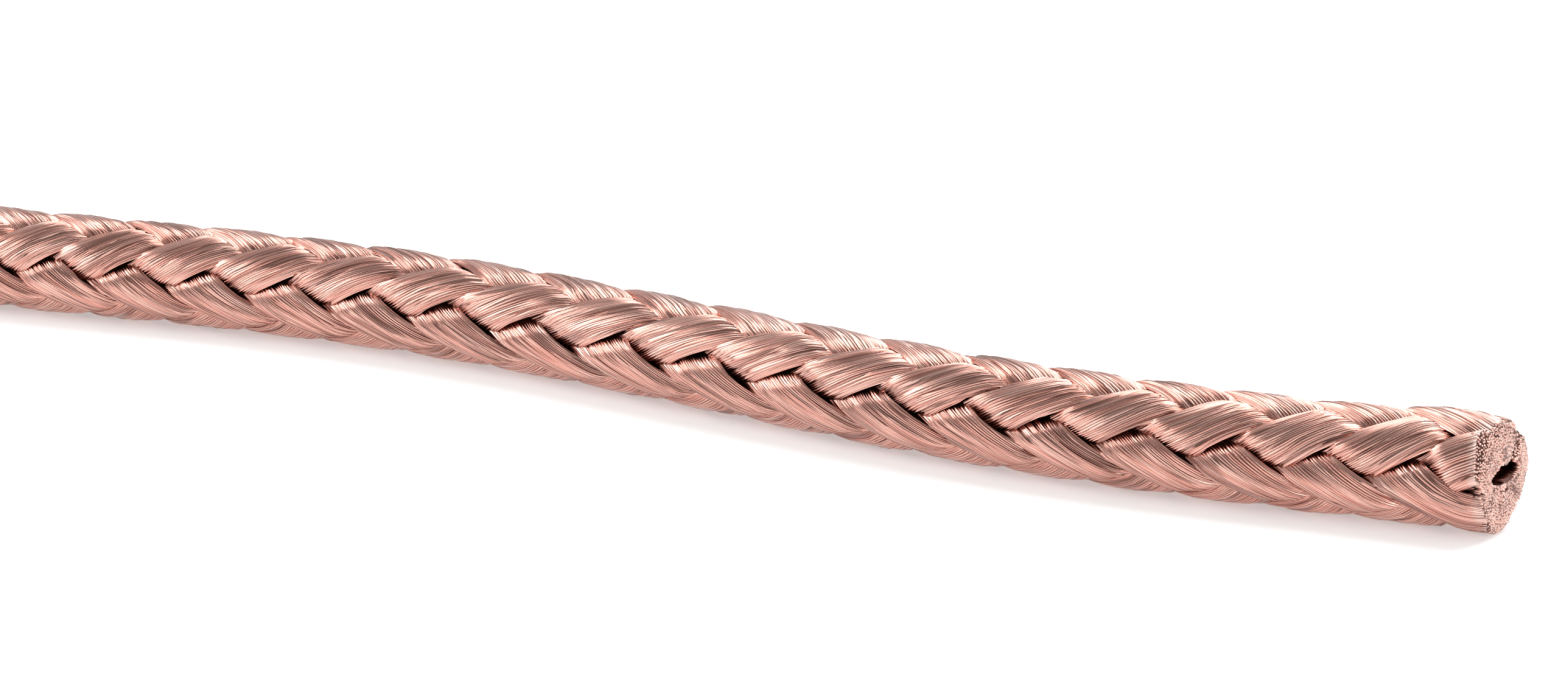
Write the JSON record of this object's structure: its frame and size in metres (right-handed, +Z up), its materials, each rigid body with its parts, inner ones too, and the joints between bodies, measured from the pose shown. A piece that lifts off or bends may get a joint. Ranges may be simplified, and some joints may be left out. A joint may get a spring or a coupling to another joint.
{
  "type": "flexible busbar braid",
  "caption": "Flexible round conductor plaited from flat bundles of fine bare copper wire, cut square at both ends, for linking busbars or earthing points.",
  "frame": {"origin": "middle of the braid's footprint, on the surface that it lies on", "axes": "+X along the braid from its far end to its near end, +Z up"},
  "size_m": [0.2497, 0.0264, 0.0145],
  "materials": {
    "bare_copper": "bare drawn copper wire, satin"
  },
  "bodies": {
    "root": {"rising_strand_1": "bare_copper", "falling_strand_1": "bare_copper", "rising_strand_2": "bare_copper", "falling_strand_2": "bare_copper", "rising_strand_3": "bare_copper", "falling_strand_3": "bare_copper", "rising_strand_4": "bare_copper", "falling_strand_4": "bare_copper", "rising_strand_5": "bare_copper", "falling_strand_5": "bare_copper", "rising_strand_6": "bare_copper", "falling_strand_6": "bare_copper"}
  },
  "joints": []
}
